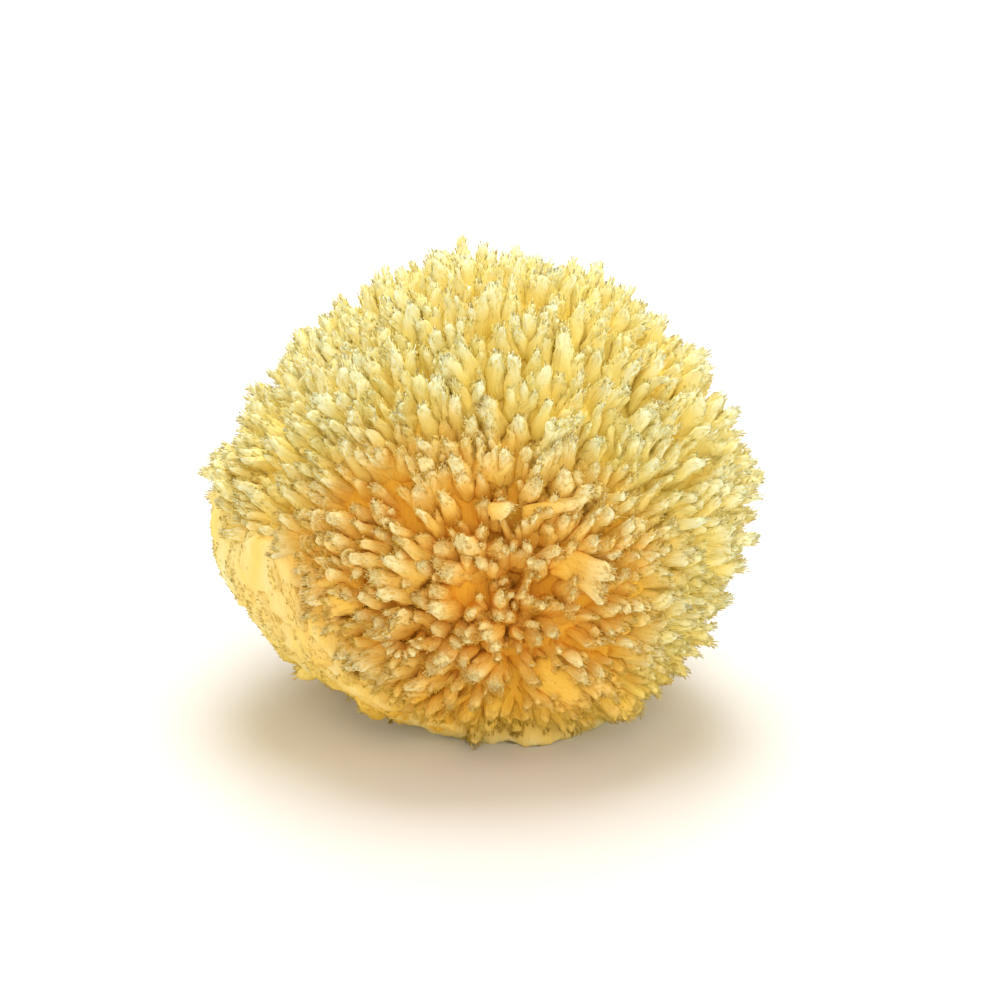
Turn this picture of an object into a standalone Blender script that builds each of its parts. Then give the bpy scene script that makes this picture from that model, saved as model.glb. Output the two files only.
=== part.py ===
"""A natural sea sponge, dried and trimmed, resting on the flat cut where it was taken from its rock.

The whole sponge grew as one piece, so it is one solid: a lobed ball of flesh whose surface is drawn out
into hundreds of blunt finger-like tufts. Units are metres, +Z is up, and the origin is the middle of the
flat cut underneath. The front of the sponge faces -Y.
"""

import math
import random

import bmesh
import bpy
from mathutils import Vector

# Overall size of the ball over the tips of its tufts, before the lobes and clefts below shape it.
WIDTH = 0.140
DEPTH = 0.132
HEIGHT = 0.1195
# The ball's middle stands to the left of the cut and this high above it.
MIDDLE = Vector((-0.010, 0.000, 0.0555))
# The tufts fan out from a point low inside the ball, near where the young sponge sat on its rock.
GROWTH_CENTRE = Vector((-0.004, -0.005, 0.030))

# Tufts: how many cells the skin is divided into, and how far the tufts stand out of it.
CELLS = 980
CELL_JITTER = 0.36
# Two triangles make one four-sided cell where its shape is at most this far from a square, in degrees.
CELL_SKEW = 75
TUFT_LENGTH = 0.0105
TRIMMED_LENGTH = 0.0016
SHORTEST_SHARE = 0.55
TIP_SHARE = (0.34, 0.62)
# Opposite corners of a tip are raised and lowered by the ridge, or by a share of a short tuft's length.
TIP_RIDGE = 0.0010
RIDGE_SHARE = 0.4
LEAN_JITTER = 0.13
RADIAL_SHARE = 0.65
LOWEST_TIP = 0.0006
# The underside is trimmed: tufts reach full length above the first height and are stubs below the second,
# both given as the sine of the elevation seen from the ball's middle.
FULL_ABOVE = -0.15
TRIMMED_BELOW = -0.72
SEED = 7

# Broad swellings and hollows: (azimuth, elevation, height in metres, spread), angles in degrees.
# Azimuth 0 is the front and +90 the right-hand side.
LOBES = (
    (-80, 44, -0.0105, 30),
    (-78, -40, -0.0025, 30),
    (-40, -58, -0.0035, 24),
    (-88, -4, 0.0030, 22),
    (84, 4, 0.0030, 20),
    (66, 48, 0.0025, 26),
    (58, -40, 0.0012, 22),
    (10, 66, 0.0030, 30),
    (-28, -26, 0.0025, 20),
    (34, -30, 0.0030, 20),
    (120, 30, -0.0040, 26),
    (165, 5, 0.0040, 30),
    (-140, 20, 0.0035, 26),
    (-165, -30, -0.0030, 24),
)
# Clefts between neighbouring lobes: (azimuth, lowest and highest elevation, depth in metres, half-width).
CLEFTS = (
    (9, -42, 8, 0.0060, 5.0),
    (-48, -45, 22, 0.0040, 5.0),
    (46, 2, 44, 0.0030, 5.0),
    (-150, -20, 40, 0.0045, 6.0),
    (112, -35, 15, 0.0045, 6.0),
)
CLEFT_END = 8.0

COLOUR = (0.80, 0.52, 0.17, 1.0)
ROUGHNESS = 0.95


def clear_scene():
    for obj in list(bpy.data.objects):
        bpy.data.objects.remove(obj)


def smoothstep(low, high, value):
    """0 below low, 1 above high and an even curve between them."""
    share = min(1.0, max(0.0, (value - low) / (high - low)))
    return share * share * (3 - 2 * share)


def direction_of(azimuth, elevation):
    """The unit vector at an azimuth and elevation in degrees; azimuth 0 is the front, +90 the right."""
    a, e = math.radians(azimuth), math.radians(elevation)
    return Vector((math.sin(a) * math.cos(e), -math.cos(a) * math.cos(e), math.sin(e)))


def spread_directions(count, jitter, rng):
    """Directions spread evenly over a sphere on a golden spiral, each then nudged aside."""
    spacing = math.sqrt(4 * math.pi / count)
    golden = math.pi * (3 - math.sqrt(5))
    directions = []
    for i in range(count):
        z = 1 - (2 * i + 1) / count
        ring = math.sqrt(1 - z * z)
        turn = golden * i
        nudge = Vector([rng.uniform(-1, 1) for _ in range(3)]) * spacing * jitter
        directions.append((Vector((ring * math.cos(turn), ring * math.sin(turn), z)) + nudge).normalized())
    return directions


def lobe_height(direction):
    """How far the lobes raise or sink the sponge's outline in this direction."""
    total = 0.0
    for azimuth, elevation, height, spread in LOBES:
        angle = math.degrees(direction.angle(direction_of(azimuth, elevation)))
        total += height * math.exp(-((angle / spread) ** 2))
    return total


def cleft_depth(direction):
    """How far the clefts sink the outline in this direction."""
    elevation = math.degrees(math.asin(max(-1.0, min(1.0, direction.z))))
    turned = math.degrees(math.atan2(direction.x, -direction.y))
    total = 0.0
    for azimuth, low, high, depth, half_width in CLEFTS:
        aside = (turned - azimuth + 180) % 360 - 180
        across = aside * math.cos(math.radians(elevation)) / half_width
        along = smoothstep(low - CLEFT_END, low, elevation) * (1 - smoothstep(high, high + CLEFT_END, elevation))
        total += depth * math.exp(-across * across) * along
    return total


def outline_radius(direction):
    """Distance from the ball's middle to the tips of the tufts."""
    half_height = HEIGHT - MIDDLE.z
    stretched = Vector((direction.x / (WIDTH / 2), direction.y / (DEPTH / 2), direction.z / half_height))
    return 1 / stretched.length + lobe_height(direction) - cleft_depth(direction)


def tuft_length(direction):
    """The usual length of a tuft here: full on the crown and sides, a stub on the trimmed underside."""
    untrimmed = smoothstep(TRIMMED_BELOW, FULL_ABOVE, direction.z)
    return TRIMMED_LENGTH + (TUFT_LENGTH - TRIMMED_LENGTH) * untrimmed


def skin_point(direction):
    """A point of the flesh between the tufts, brought up to the flat cut where it would lie below it."""
    radius = outline_radius(direction) - tuft_length(direction)
    point = MIDDLE + direction * radius
    if point.z < 0:
        point = MIDDLE + direction * (-MIDDLE.z / direction.z)
        point.z = 0.0
    return point


def ball_of_cells(rng):
    """A closed sphere of irregular four-sided cells, as a bmesh, each cell the root of one tuft."""
    mesh = bmesh.new()
    for direction in spread_directions(CELLS, CELL_JITTER, rng):
        mesh.verts.new(direction)
    bmesh.ops.convex_hull(mesh, input=mesh.verts)
    bmesh.ops.join_triangles(
        mesh, faces=mesh.faces, angle_face_threshold=math.pi, angle_shape_threshold=math.radians(CELL_SKEW)
    )
    return mesh


def shape_flesh(mesh):
    """Moves the cells' corners from the sphere to the sponge's lobed flesh and its flat cut."""
    for vert in mesh.verts:
        vert.co = skin_point(vert.co.normalized())
    mesh.normal_update()


def growth_direction(point, normal, rng):
    """The way a tuft grows: mostly straight out of the growth centre, partly along the skin's normal."""
    radial = (point - GROWTH_CENTRE).normalized()
    lean = Vector([rng.uniform(-1, 1) for _ in range(3)]) * LEAN_JITTER
    return (radial * RADIAL_SHARE + normal * (1 - RADIAL_SHARE) + lean).normalized()


def draw_out_tufts(mesh, rng):
    """Extrudes every cell off the flat cut into a blunt tuft whose top is narrower and ridged."""
    cells = [f for f in mesh.faces if max(v.co.z for v in f.verts) > 0]
    for top in bmesh.ops.extrude_discrete_faces(mesh, faces=cells)["faces"]:
        middle = top.calc_center_median()
        direction = growth_direction(middle, top.normal, rng)
        usual = tuft_length((middle - MIDDLE).normalized())
        length = usual * rng.uniform(SHORTEST_SHARE, 1)
        share = rng.uniform(*TIP_SHARE)
        ridge = min(TIP_RIDGE, length * RIDGE_SHARE)
        for i, vert in enumerate(top.verts):
            raised = ridge if i % 2 == 0 else -ridge
            vert.co = middle + (vert.co - middle) * share + direction * (length + raised)
            vert.co.z = max(vert.co.z, LOWEST_TIP)
        if len(top.verts) == 4:
            bmesh.utils.face_split(top, top.verts[0], top.verts[2])


def close_cut(mesh):
    """Makes the cells on the flat cut one face, the plane that the sponge rests on."""
    flat = [f for f in mesh.faces if max(v.co.z for v in f.verts) <= 0]
    bmesh.ops.dissolve_faces(mesh, faces=flat, use_verts=True)


def sponge_material():
    material = bpy.data.materials.new("dried_sponge")
    material.use_nodes = True
    shader = material.node_tree.nodes["Principled BSDF"]
    shader.inputs["Base Color"].default_value = COLOUR
    shader.inputs["Roughness"].default_value = ROUGHNESS
    shader.inputs["Metallic"].default_value = 0.0
    return material


def build_sponge():
    rng = random.Random(SEED)
    mesh = ball_of_cells(rng)
    shape_flesh(mesh)
    draw_out_tufts(mesh, rng)
    close_cut(mesh)
    bmesh.ops.triangulate(mesh, faces=[f for f in mesh.faces if len(f.verts) > 3])
    bmesh.ops.recalc_face_normals(mesh, faces=mesh.faces)
    data = bpy.data.meshes.new("sea_sponge")
    mesh.to_mesh(data)
    mesh.free()
    sponge = bpy.data.objects.new("sea_sponge", data)
    data.materials.append(sponge_material())
    collection = bpy.data.collections.new("sea_sponge_parts")
    bpy.context.scene.collection.children.link(collection)
    collection.objects.link(sponge)
    return sponge


def main():
    clear_scene()
    build_sponge()


main()
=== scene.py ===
"""The looks of a dried natural sea sponge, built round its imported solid.

The solid says where each tuft is rooted and how far it reaches. Flesh is laid under those roots, each tuft
becomes a clump of fingers, fans, forks and knobs, and spongin fibres fray out of their ends.
Everything is in metres in the solid's own frame: +Z is up and the front faces -Y.
"""

import math
import random
from typing import NamedTuple

import bmesh
import bpy
import numpy as np
from bpy.props import FloatProperty, FloatVectorProperty, IntProperty, PointerProperty
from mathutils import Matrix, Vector, noise


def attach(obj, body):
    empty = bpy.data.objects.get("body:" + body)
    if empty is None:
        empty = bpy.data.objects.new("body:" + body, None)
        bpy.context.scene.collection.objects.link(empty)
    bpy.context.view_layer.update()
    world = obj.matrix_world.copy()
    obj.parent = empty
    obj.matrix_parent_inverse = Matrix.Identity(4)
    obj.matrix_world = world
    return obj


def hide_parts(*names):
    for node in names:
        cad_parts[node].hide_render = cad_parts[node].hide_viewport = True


bl_info = {
    "name": "Sea sponge",
    "version": (1, 0, 0),
    "blender": (4, 5, 0),
    "location": "3D View > Sidebar > Sponge",
    "description": "Builds the flesh, tufts and fibres of a natural sea sponge",
    "category": "Add Mesh",
}

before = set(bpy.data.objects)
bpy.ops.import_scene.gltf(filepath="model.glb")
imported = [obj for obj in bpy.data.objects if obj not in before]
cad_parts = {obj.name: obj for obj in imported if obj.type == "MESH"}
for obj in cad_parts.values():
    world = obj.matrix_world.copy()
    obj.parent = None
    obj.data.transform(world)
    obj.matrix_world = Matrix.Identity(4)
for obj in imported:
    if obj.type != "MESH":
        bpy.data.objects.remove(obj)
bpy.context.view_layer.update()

NODE = "sea_sponge"
BODY = "root"
SEED = 23

# The middle of the ball of flesh, and the point low in its front that the tufts fan out from.
MIDDLE = Vector((-0.010, 0.000, 0.0555))
GROWTH_CENTRE = Vector((-0.004, -0.027, 0.032))

# Reading the solid: corners closer than the first are one, a fold this deep runs between two tufts, and the
# tip of a tuft has no more corners than the last.
WELD = 0.00002
VALLEY = math.radians(45)
MOST_TIP_CORNERS = 4

# Where the skin was trimmed flush: (azimuth, elevation, spread) in degrees, and everything under a height.
TRIMMED_PATCHES = (
    (-86, -12, 16),
    (-68, -18, 17),
    (-57, -9, 12),
    (-54, -30, 15),
    (-44, -23, 10),
    (-38, -42, 12),
    (-20, -54, 10),
)
TRIMMED_HEIGHT = 0.0012
# The share of a patch's spread at which the trimmed skin starts to end, and where whole tufts begin.
TRIMMED_EDGE = (0.75, 1.15)
# Clefts between lobes, with no tufts in them: (azimuth, lowest and highest elevation, half-width) in degrees.
CLEFTS = ((8, -38, 6, 2.8), (-46, -20, 16, 2.0))
# Over how many degrees a cleft runs out at either end, and how much deeper its flesh lies.
CLEFT_END = 4
CLEFT_SINK = 0.0016
# How far a tuft's tip has a say in the outline round it, in radians.
TIP_REACH = 0.085
# The flesh is at its low depth under an outline below the first height and at its full depth above the
# second.
DEPTH_HEIGHTS = (0.004, 0.028)


def linear(hex_colour):
    """An sRGB hex colour as linear red, green, blue and an alpha of 1."""
    shares = [int(hex_colour[i : i + 2], 16) / 255 for i in (1, 3, 5)]
    return tuple(s / 12.92 if s <= 0.04045 else ((s + 0.055) / 1.055) ** 2.4 for s in shares) + (1.0,)


def smoothstep(low, high, value):
    """0 below low, 1 above high and an even curve between them, for a number or an array."""
    share = np.clip((np.asarray(value, float) - low) / (high - low), 0, 1)
    return share * share * (3 - 2 * share)


def direction_of(azimuth, elevation):
    """The unit vector at an azimuth and elevation in degrees; azimuth 0 is the front, +90 the right."""
    a, e = math.radians(azimuth), math.radians(elevation)
    return Vector((math.sin(a) * math.cos(e), -math.cos(a) * math.cos(e), math.sin(e)))


# What a user would change


class SpongeShape(bpy.types.PropertyGroup):
    """Sizes of the flesh, tufts and fibres."""

    depth: FloatProperty(
        name="Depth", description="How far the flesh lies under the tips of whole tufts", default=0.0082,
        unit="LENGTH",
    )
    low_depth: FloatProperty(
        name="Low depth", description="The same near the floor, where the tufts are shorter", default=0.0055,
        unit="LENGTH",
    )
    finger_width: FloatProperty(
        name="Finger width", description="Width of a usual finger half way up", default=0.0039, unit="LENGTH",
    )
    side_fingers: IntProperty(
        name="Side fingers", description="Most side fingers that share one tuft's root", default=1, min=0,
    )
    clumps: IntProperty(
        name="Clumps", description="How many clumps the tips are drawn together in", default=170, min=1,
    )
    clump_pull: FloatProperty(
        name="Clump pull", description="Share of the way that a tip leans to its clump", default=0.24,
        subtype="FACTOR",
    )
    fibre_length: FloatProperty(
        name="Fibre length", description="Length of a usual fibre at a tip", default=0.0015, unit="LENGTH",
    )
    fibre_width: FloatProperty(
        name="Fibre width", description="Width of a fibre at its thick end, drawn coarse enough to show",
        default=0.00040, unit="LENGTH",
    )
    fibres: IntProperty(
        name="Fibres", description="Number of fibres over the whole sponge", default=158000, min=0,
    )


class SpongeColours(bpy.types.PropertyGroup):
    """Colours of the dried spongin from the hollows to the tips."""

    # Painted shade: the front is given this amber where less light falls.
    amber: FloatVectorProperty(
        name="Amber", description="Hollows low in the front, where the spongin is darkest", subtype="COLOR",
        size=4, default=linear("#f0b53e"),
    )
    amber_tip: FloatVectorProperty(
        name="Amber tip", description="Tips of the tufts there", subtype="COLOR", size=4,
        default=linear("#f4e4a4"),
    )
    golden: FloatVectorProperty(
        name="Golden", description="Hollows on the sides", subtype="COLOR", size=4, default=linear("#f4c64c"),
    )
    golden_tip: FloatVectorProperty(
        name="Golden tip", description="Tips of the tufts on the sides", subtype="COLOR", size=4,
        default=linear("#f3ecba"),
    )
    # The crown's bleached colours are partly sun-bleaching and partly painted light from overhead.
    bleached: FloatVectorProperty(
        name="Bleached", description="Hollows on the crown, bleached by light", subtype="COLOR", size=4,
        default=linear("#f2dc74"),
    )
    bleached_tip: FloatVectorProperty(
        name="Bleached tip", description="Tips of the tufts on the crown", subtype="COLOR", size=4,
        default=linear("#edf3d2"),
    )


class SpongeStage(bpy.types.PropertyGroup):
    """The floor, lights and camera."""

    floor: FloatVectorProperty(
        name="Floor", description="Colour of the paper floor", subtype="COLOR", size=4,
        default=linear("#e4e4e4"),
    )
    sky: FloatProperty(name="Sky", description="Brightness of the warm surround", default=0.76)
    top_light: FloatProperty(
        name="Top light", description="Power of the softbox overhead", default=12.6, unit="POWER",
    )
    front_light: FloatProperty(
        name="Front light", description="Power of the softbox in front", default=5.6, unit="POWER",
    )
    side_light: FloatProperty(
        name="Side light", description="Power of the softbox on either side", default=4.0, unit="POWER",
    )
    back_light: FloatProperty(
        name="Back light", description="Power of the softbox behind", default=17.6, unit="POWER",
    )
    elevation: FloatProperty(
        name="Elevation", description="Camera's height above the horizon", default=math.radians(20),
        subtype="ANGLE",
    )
    distance: FloatProperty(
        name="Distance", description="From the camera to the sponge's middle", default=0.9, unit="LENGTH",
    )
    view_width: FloatProperty(
        name="View width", description="Real width that the picture spans at the sponge", default=0.2545,
        unit="LENGTH",
    )


# Tools shared by the pieces


def deselect_all():
    if bpy.context.object and bpy.context.object.mode != "OBJECT":
        bpy.ops.object.mode_set(mode="OBJECT")
    for obj in bpy.context.selected_objects:
        obj.select_set(False)


def add_node(tree, kind, settings=(), values=(), links=()):
    """Adds a node. settings are (name, value), values (input, value) and links (input, node, output)."""
    node = tree.nodes.new(kind)
    for name, value in settings:
        setattr(node, name, value)
    for socket, value in values:
        node.inputs[socket].default_value = value
    for socket, source, output in links:
        tree.links.new(source.outputs[output], node.inputs[socket])
    return node


def add_piece(name, points, faces, values, bake_uv, material, normals=None):
    """One finished object. values are point attributes by name; bake_uv has one place for each point."""
    mesh = bpy.data.meshes.new(name)
    mesh.from_pydata(points.reshape(-1, 3), [], faces)
    store_values(mesh, values)
    corners = np.empty(len(mesh.loops), np.int32)
    mesh.loops.foreach_get("vertex_index", corners)
    mesh.uv_layers.new(name="OFBake").uv.foreach_set("vector", bake_uv[corners].astype(np.float32).ravel())
    mesh.shade_smooth()
    if normals is not None:
        mesh.normals_split_custom_set_from_vertices(normals.reshape(-1, 3))
    mesh.materials.append(material)
    obj = bpy.data.objects.new(name, mesh)
    bpy.context.scene.collection.objects.link(obj)
    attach(obj, BODY)
    return obj


def store_values(mesh, values):
    """Stores arrays as attributes of a mesh's points, vectors where they have three columns."""
    for key, value in values.items():
        kind, field = ("FLOAT_VECTOR", "vector") if value.ndim == 2 else ("FLOAT", "value")
        mesh.attributes.new(key, kind, "POINT").data.foreach_set(field, value.astype(np.float32).ravel())


def units(vectors):
    """The vectors of an array, each made one long."""
    return vectors / np.maximum(np.linalg.norm(vectors, axis=-1, keepdims=True), 1e-12)


# Reading the solid


class Tuft(NamedTuple):
    """One tuft of the solid: the middle of its root and of its tip."""

    root: Vector
    tip: Vector


def middle_of(corners):
    return sum((c.co for c in corners), Vector()) / len(corners)


def read_tufts():
    """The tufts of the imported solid, told apart by the deep folds between them."""
    solid = bmesh.new()
    solid.from_mesh(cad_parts[NODE].data)
    bmesh.ops.remove_doubles(solid, verts=solid.verts, dist=WELD)
    solid.verts.index_update()
    folds = [e for e in solid.edges if e.calc_face_angle_signed() < -VALLEY]
    seen = {corner for edge in folds for corner in edge.verts}
    roots = set(seen)
    tufts = []
    for start in solid.verts:
        if start in seen:
            continue
        seen.add(start)
        tip, waiting = [], [start]
        while waiting:
            corner = waiting.pop()
            tip.append(corner)
            for edge in corner.link_edges:
                other = edge.other_vert(corner)
                if other not in seen:
                    seen.add(other)
                    waiting.append(other)
        # In a set order, so that their middle is the same to the last digit in each run.
        root = sorted({e.other_vert(c) for c in tip for e in c.link_edges} & roots, key=lambda c: c.index)
        if root and len(tip) <= MOST_TIP_CORNERS:
            tufts.append(Tuft(middle_of(root), middle_of(tip)))
    solid.free()
    return tufts


TUFTS = read_tufts()


def spread_values(places, values, directions, reach):
    """Values known at some directions, spread smoothly to others by nearness. reach is in radians."""
    spread = []
    for part in np.array_split(directions, max(1, len(directions) // 4000)):
        near = np.exp((part @ places.T - 1) * 2 / reach**2)
        spread.append(near @ values / near.sum(1))
    return np.concatenate(spread)


TIPS = np.array([t.tip - MIDDLE for t in TUFTS])


def trimmed_share(directions):
    """1 where tufts were trimmed flush and 0 where they are whole, by direction from the middle."""
    share = np.zeros(len(directions))
    for azimuth, elevation, spread in TRIMMED_PATCHES:
        cosine = np.clip(directions @ np.array(direction_of(azimuth, elevation)), -1, 1)
        start, end = (edge * spread for edge in TRIMMED_EDGE)
        share = np.maximum(share, 1 - smoothstep(start, end, np.degrees(np.arccos(cosine))))
    height = MIDDLE.z + outline_distance(directions) * directions[:, 2]
    return np.maximum(share, 1 - smoothstep(TRIMMED_HEIGHT, 3 * TRIMMED_HEIGHT, height))


def cleft_share(directions):
    """1 in the middle of a cleft and 0 outside it, by direction from the middle."""
    turned = np.degrees(np.arctan2(directions[:, 0], -directions[:, 1]))
    elevation = np.degrees(np.arcsin(np.clip(directions[:, 2], -1, 1)))
    share = np.zeros(len(directions))
    for azimuth, low, high, half_width in CLEFTS:
        entered = smoothstep(low - CLEFT_END, low, elevation)
        along = entered * (1 - smoothstep(high, high + CLEFT_END, elevation))
        share = np.maximum(share, along * np.exp(-(((turned - azimuth) / half_width) ** 2)))
    return share


def in_cleft(direction):
    """Whether this direction from the middle points into one of the clefts, where no tuft stands."""
    return cleft_share(np.array([direction]))[0] > 0.5


def outline_distance(directions):
    """How far the tips of the solid's tufts are from the middle, in each direction."""
    return spread_values(units(TIPS), np.linalg.norm(TIPS, axis=1), directions, TIP_REACH)


def flesh_distance(directions, shape):
    """How far the flesh is from the middle: sunk between whole tufts, at their tips where trimmed."""
    outline = outline_distance(directions)
    low = smoothstep(*DEPTH_HEIGHTS, MIDDLE.z + outline * directions[:, 2])
    depth = shape.low_depth + (shape.depth - shape.low_depth) * low
    return outline - depth * (1 - trimmed_share(directions)) - CLEFT_SINK * cleft_share(directions)


# The spongin's tint holds painted light and shade. It is amber round this direction, the front, as painted
# shade where less light falls; golden further away; paler towards the rims, as painted rim light; and
# bleached above a height on the crown, partly sun-bleached and partly painted light from overhead. It is
# amber within the first spread, golden past it, and paler past the second, both given in degrees from and to.
AMBER = direction_of(1, 0)
AMBER_SPREAD = (12, 58)
PALE_SPREAD = (36, 78)
BLEACHED_HEIGHTS = (0.054, 0.106)
# The tint of golden spongin, where amber is 0 and bleached is 1, and how much is added where it is paler,
# towards the rims, as painted rim light.
GOLDEN = 0.5
PALER = 0.36
# Patches where the tint is paler or darker: (azimuth, elevation, spread in degrees, how much paler).
PALE_PATCHES = (
    (-20, 3, 10, 0.36),
    (-32, -24, 12, 0.30),
    (-27, 19, 10, -0.20),
    (2, 20, 9, -0.12),
    (52, -18, 16, 0.25),
    (62, 30, 40, 0.34),
)


def tint_of(points):
    """0 where the spongin is amber, a half where golden and 1 where bleached, at these points; painted shade
    and light are in it.
    """
    cosine = np.clip(units(points - np.array(MIDDLE)) @ np.array(AMBER), -1, 1)
    angle = np.degrees(np.arccos(cosine))
    golden = GOLDEN * smoothstep(*AMBER_SPREAD, angle) + PALER * smoothstep(*PALE_SPREAD, angle)
    for azimuth, elevation, spread, paler in PALE_PATCHES:
        aside = units(points - np.array(MIDDLE)) @ np.array(direction_of(azimuth, elevation))
        golden += paler * np.exp(-((np.degrees(np.arccos(np.clip(aside, -1, 1))) / spread) ** 2))
    return np.clip(golden + (1 - GOLDEN) * smoothstep(*BLEACHED_HEIGHTS, points[:, 2]), 0, 1)


# Materials


# Spongin fibres are a few hundredths of a millimetre thick, so they are drawn as bundles this wide, to show,
# and a bundle's streak is this many times longer than it is wide.
FIBRE_SPACING = 0.0009
STREAK = 9
# How far the bundles stand out of the tufts, and of the trimmed flesh, which the blade smoothed a little.
TUFT_RELIEF = 0.00070
TRIMMED_RELIEF = 0.00050


def spongin_material(name, colours, relief):
    """Dried spongin, the horny protein that a sponge's skeleton is woven from.

    It is matt all over. The colour follows two attributes: tipness runs from the hollows, whose amber is
    partly their own colour and partly painted glow of light passing through the spongin, to the tips, and
    tint from the amber front, painted shade, to the bleached crown, partly painted light from overhead.
    Fibres lie side by side along the tuft, FIBRE_SPACING apart across the grain attribute, and stand out by
    the relief in metres.
    """
    material = bpy.data.materials.new(name)
    material.use_nodes = True
    tree = material.node_tree
    tree.nodes.clear()
    tipness = add_node(tree, "ShaderNodeAttribute", [("attribute_name", "tipness")])
    tint = add_node(tree, "ShaderNodeAttribute", [("attribute_name", "tint")])
    amber, golden, bleached = (
        colour_ramp(tree, tipness, getattr(colours, part), getattr(colours, f"{part}_tip"))
        for part in ("amber", "golden", "bleached")
    )
    to_side = add_node(tree, "ShaderNodeMapRange", values=[(1, 0.0), (2, GOLDEN)], links=[(0, tint, 2)])
    to_crown = add_node(tree, "ShaderNodeMapRange", values=[(1, GOLDEN), (2, 1.0)], links=[(0, tint, 2)])
    lower = mix_colours(tree, to_side, (amber, 0), (golden, 0))
    colour = mix_colours(tree, to_crown, (lower, 2), (bleached, 0))
    shader = add_node(
        tree,
        "ShaderNodeBsdfPrincipled",
        values=[("Roughness", 0.9), ("Specular IOR Level", 0.0)],
        links=[("Base Color", colour, 2)],
    )
    if relief:
        grain = add_node(tree, "ShaderNodeAttribute", [("attribute_name", "grain")])
        strands = add_node(
            tree,
            "ShaderNodeTexNoise",
            values=[("Scale", 1 / FIBRE_SPACING), ("Detail", 2.0), ("Roughness", 0.6)],
            links=[("Vector", grain, 1)],
        )
        bump = add_node(
            tree,
            "ShaderNodeBump",
            values=[("Strength", 1.0), ("Distance", relief)],
            links=[("Height", strands, 0)],
        )
        tree.links.new(bump.outputs[0], shader.inputs["Normal"])
    add_node(tree, "ShaderNodeOutputMaterial", links=[(0, shader, 0)])
    return material


def mix_colours(tree, share, first, second):
    """A node that mixes two colours, each given as a node and the number of its output."""
    links = [(0, share, 0), (6, *first), (7, *second)]
    return add_node(tree, "ShaderNodeMix", [("data_type", "RGBA")], links=links)


# Where a tuft's colour changes from its hollow to its tip, and how much of the tip's colour it has there.
TIP_CURVE = ((0.0, 0.0), (0.5, 0.22), (0.8, 0.60), (1.0, 1.0))


def colour_ramp(tree, source, hollow, tip):
    """A colour ramp from hollow to tip along TIP_CURVE, driven by an attribute's value."""
    ramp = add_node(tree, "ShaderNodeValToRGB", links=[(0, source, 2)])
    elements = ramp.color_ramp.elements
    while len(elements) < len(TIP_CURVE):
        elements.new(0.5)
    for element, (place, share) in zip(elements, TIP_CURVE):
        element.position = place
        element.color = [low + (high - low) * share for low, high in zip(hollow, tip)]
    return ramp


# Flesh


class SPONGE_OT_flesh(bpy.types.Operator):
    """Lays the flesh under the tufts' roots and trims it flat underneath"""

    bl_idname = "sponge.flesh"
    bl_label = "Flesh"

    def execute(self, context):
        shape = context.scene.sponge_shape
        deselect_all()
        bpy.ops.mesh.primitive_ico_sphere_add(subdivisions=6, radius=1)
        flesh = context.object
        flesh.name = flesh.data.name = "sponge_flesh"
        refine_trimmed(flesh.data)
        shape_flesh(flesh.data, shape)
        bpy.ops.object.mode_set(mode="EDIT")
        bpy.ops.mesh.select_all(action="SELECT")
        bpy.ops.mesh.bisect(plane_co=(0, 0, 0), plane_no=(0, 0, 1), use_fill=True, clear_inner=True)
        bpy.ops.object.mode_set(mode="OBJECT")
        colour_flesh(flesh.data)
        flesh.data.shade_smooth()
        flesh.data.materials.append(
            spongin_material("trimmed_spongin_flesh", context.scene.sponge_colours, TRIMMED_RELIEF)
        )
        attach(flesh, BODY)
        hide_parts(NODE)
        return {"FINISHED"}


def refine_trimmed(mesh):
    """Makes the faces finer where the skin was trimmed and shows."""
    middles = np.array([p.center for p in mesh.polygons])
    for parts in (mesh.vertices, mesh.edges):
        parts.foreach_set("select", np.zeros(len(parts), bool))
    mesh.polygons.foreach_set("select", trimmed_share(units(middles)) > 0.05)
    bpy.context.tool_settings.mesh_select_mode = (False, False, True)
    bpy.ops.object.mode_set(mode="EDIT")
    bpy.ops.mesh.subdivide(number_cuts=2)
    bpy.ops.object.mode_set(mode="OBJECT")


# Lumps and streaks of the flesh: how far apart they are, how far they stand out, and how long a streak is for
# its width.
LUMP_SPACING = 0.0045
LUMP_HEIGHT = 0.0010
STREAK_SPACING = 0.0012
STREAK_HEIGHT = 0.0004
STREAK_LENGTH = 6


def shape_flesh(mesh, shape):
    """Moves a unit sphere's corners to the flesh: sunk between whole tufts, streaked where it was trimmed."""
    co = np.empty(len(mesh.vertices) * 3, np.float32)
    mesh.vertices.foreach_get("co", co)
    directions = units(co.reshape(-1, 3).astype(float))
    distance = flesh_distance(directions, shape)
    surface = np.array(MIDDLE) + directions * distance[:, None]
    lumps = np.array([noise.noise(Vector(p) / LUMP_SPACING) for p in surface])
    stretched = surface / (1, 1, STREAK_LENGTH)
    streaks = np.array([noise.noise(Vector(p) / STREAK_SPACING) for p in stretched])
    distance += lumps * LUMP_HEIGHT + streaks * STREAK_HEIGHT
    surface = np.array(MIDDLE) + directions * distance[:, None]
    mesh.vertices.foreach_set("co", surface.astype(np.float32).ravel())
    mesh.update()


# How near the tips' colour the trimmed skin is, how much its pale and dark streaks differ from that, and
# how far apart those are across and upwards.
TRIMMED_TIPNESS = 0.58
TRIMMED_STREAKS = 0.30
PALE_STREAK_SIZE = (0.004, 0.004, 0.012)


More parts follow.
